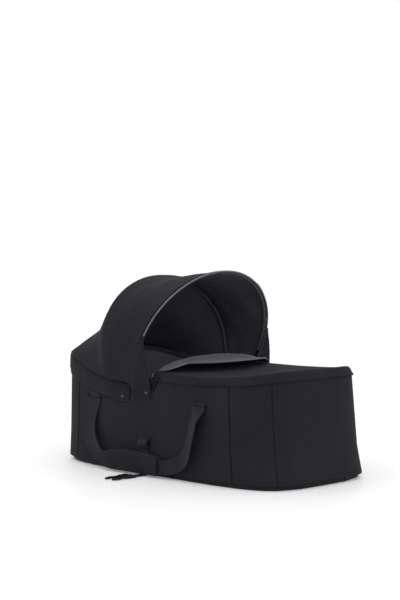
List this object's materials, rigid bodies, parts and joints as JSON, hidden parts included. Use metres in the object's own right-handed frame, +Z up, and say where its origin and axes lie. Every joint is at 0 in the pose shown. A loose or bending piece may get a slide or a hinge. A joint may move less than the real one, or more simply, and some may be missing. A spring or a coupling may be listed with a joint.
{
  "type": "carrycot",
  "caption": "Soft-sided carrycot with a folding bow hood, zipped apron with a turned-back flap, carry handles and side-release straps.",
  "frame": {"origin": "on the floor at the middle of the base's underside", "axes": "+X towards the foot end, -X the head end with the hood, +Z up"},
  "size_m": [0.8222, 0.67, 0.5147],
  "materials": {
    "cover": "woven",
    "canvas": "woven",
    "lining": "woven",
    "satin": "satin",
    "piping": "reflective",
    "webbing": "woven",
    "board": "matte",
    "wadding": "matte",
    "moulding": "matte",
    "steel": "satin"
  },
  "bodies": {
    "shell": {"apron_top": "cover", "base_board": "board", "base_tray": "moulding", "foot_cover": "cover", "head_cover": "cover", "hood_band": "cover", "hood_rear_panel": "canvas", "left_band_stud": "steel", "left_chassis_strap": "webbing", "left_foot_anchor": "webbing", "left_foot_corner_cover": "cover", "left_head_anchor": "webbing", "left_hood_corner": "canvas", "left_hood_hinge": "steel", "left_loop_tab": "webbing", "left_side_cover": "cover", "left_tab_stud": "steel", "left_zip_slider": "steel", "lining": "lining", "mattress": "lining", "right_band_stud": "steel", "right_chassis_strap": "webbing", "right_foot_anchor": "webbing", "right_foot_corner_cover": "cover", "right_head_anchor": "webbing", "right_hood_corner": "canvas", "right_hood_hinge": "steel", "right_loop_tab": "webbing", "right_side_cover": "cover", "right_tab_stud": "steel", "right_zip_slider": "steel", "rim_binding": "piping", "rim_frame": "steel", "wadding": "wadding", "wall_board": "board", "zip_chain": "moulding"},
    "mid_bow": {"mid_bow": "steel"},
    "front_bow": {"front_bow": "steel", "hood_piping": "piping", "hood_front_panel": "canvas"},
    "apron_flap": {"apron_flap": "satin"},
    "right_handle": {"right_handle_strap": "webbing", "right_grip_sleeve": "cover"},
    "right_clip": {"right_clip": "moulding"},
    "right_zip_pull": {"right_zip_pull": "steel"},
    "left_handle": {"left_handle_strap": "webbing", "left_grip_sleeve": "cover"},
    "left_clip": {"left_clip": "moulding"},
    "left_zip_pull": {"left_zip_pull": "steel"}
  },
  "joints": [
    {"name": "mid_bow_hinge", "type": "hinge", "parent": "shell", "child": "mid_bow", "pos_m": [-0.06309, 0, 0.224], "axis": [0, -1, 0], "range_deg": [0, 40], "deforming": ["hood_rear_panel"]},
    {"name": "front_bow_hinge", "type": "hinge", "parent": "mid_bow", "child": "front_bow", "pos_m": [-0.06309, 0, 0.224], "axis": [0, -1, 0], "range_deg": [0, 44], "deforming": ["hood_front_panel", "right_hood_corner", "left_hood_corner"]},
    {"name": "apron_flap_fold", "type": "hinge", "parent": "shell", "child": "apron_flap", "pos_m": [0.004, 0, 0.281], "axis": [0, -1, 0], "range_deg": [0, 150]},
    {"name": "right_handle_swing", "type": "hinge", "parent": "shell", "child": "right_handle", "pos_m": [0.173, -0.2094, 0.189], "axis": [-0.9997, 0.0057, -0.0224], "range_deg": [0, 150]},
    {"name": "right_clip_turn", "type": "hinge", "parent": "shell", "child": "right_clip", "pos_m": [-0.0185, -0.262, 0.0039], "axis": [-1, 0, 0], "range_deg": [0, 90]},
    {"name": "right_zip_pull_swing", "type": "hinge", "parent": "shell", "child": "right_zip_pull", "pos_m": [0.0062, -0.2123, 0.259], "axis": [-1, 0, 0], "range_deg": [0, 100]},
    {"name": "left_handle_swing", "type": "hinge", "parent": "shell", "child": "left_handle", "pos_m": [0.173, 0.2094, 0.189], "axis": [0.9997, 0.0057, 0.0224], "range_deg": [0, 150]},
    {"name": "left_clip_turn", "type": "hinge", "parent": "shell", "child": "left_clip", "pos_m": [-0.0185, 0.262, 0.0039], "axis": [1, 0, 0], "range_deg": [0, 90]},
    {"name": "left_zip_pull_swing", "type": "hinge", "parent": "shell", "child": "left_zip_pull", "pos_m": [0.0062, 0.2123, 0.259], "axis": [1, 0, 0], "range_deg": [0, 100]}
  ],
  "couplings": [
    {"joint": "front_bow_hinge", "follows": "mid_bow_hinge", "ratio": 1.1}
  ]
}
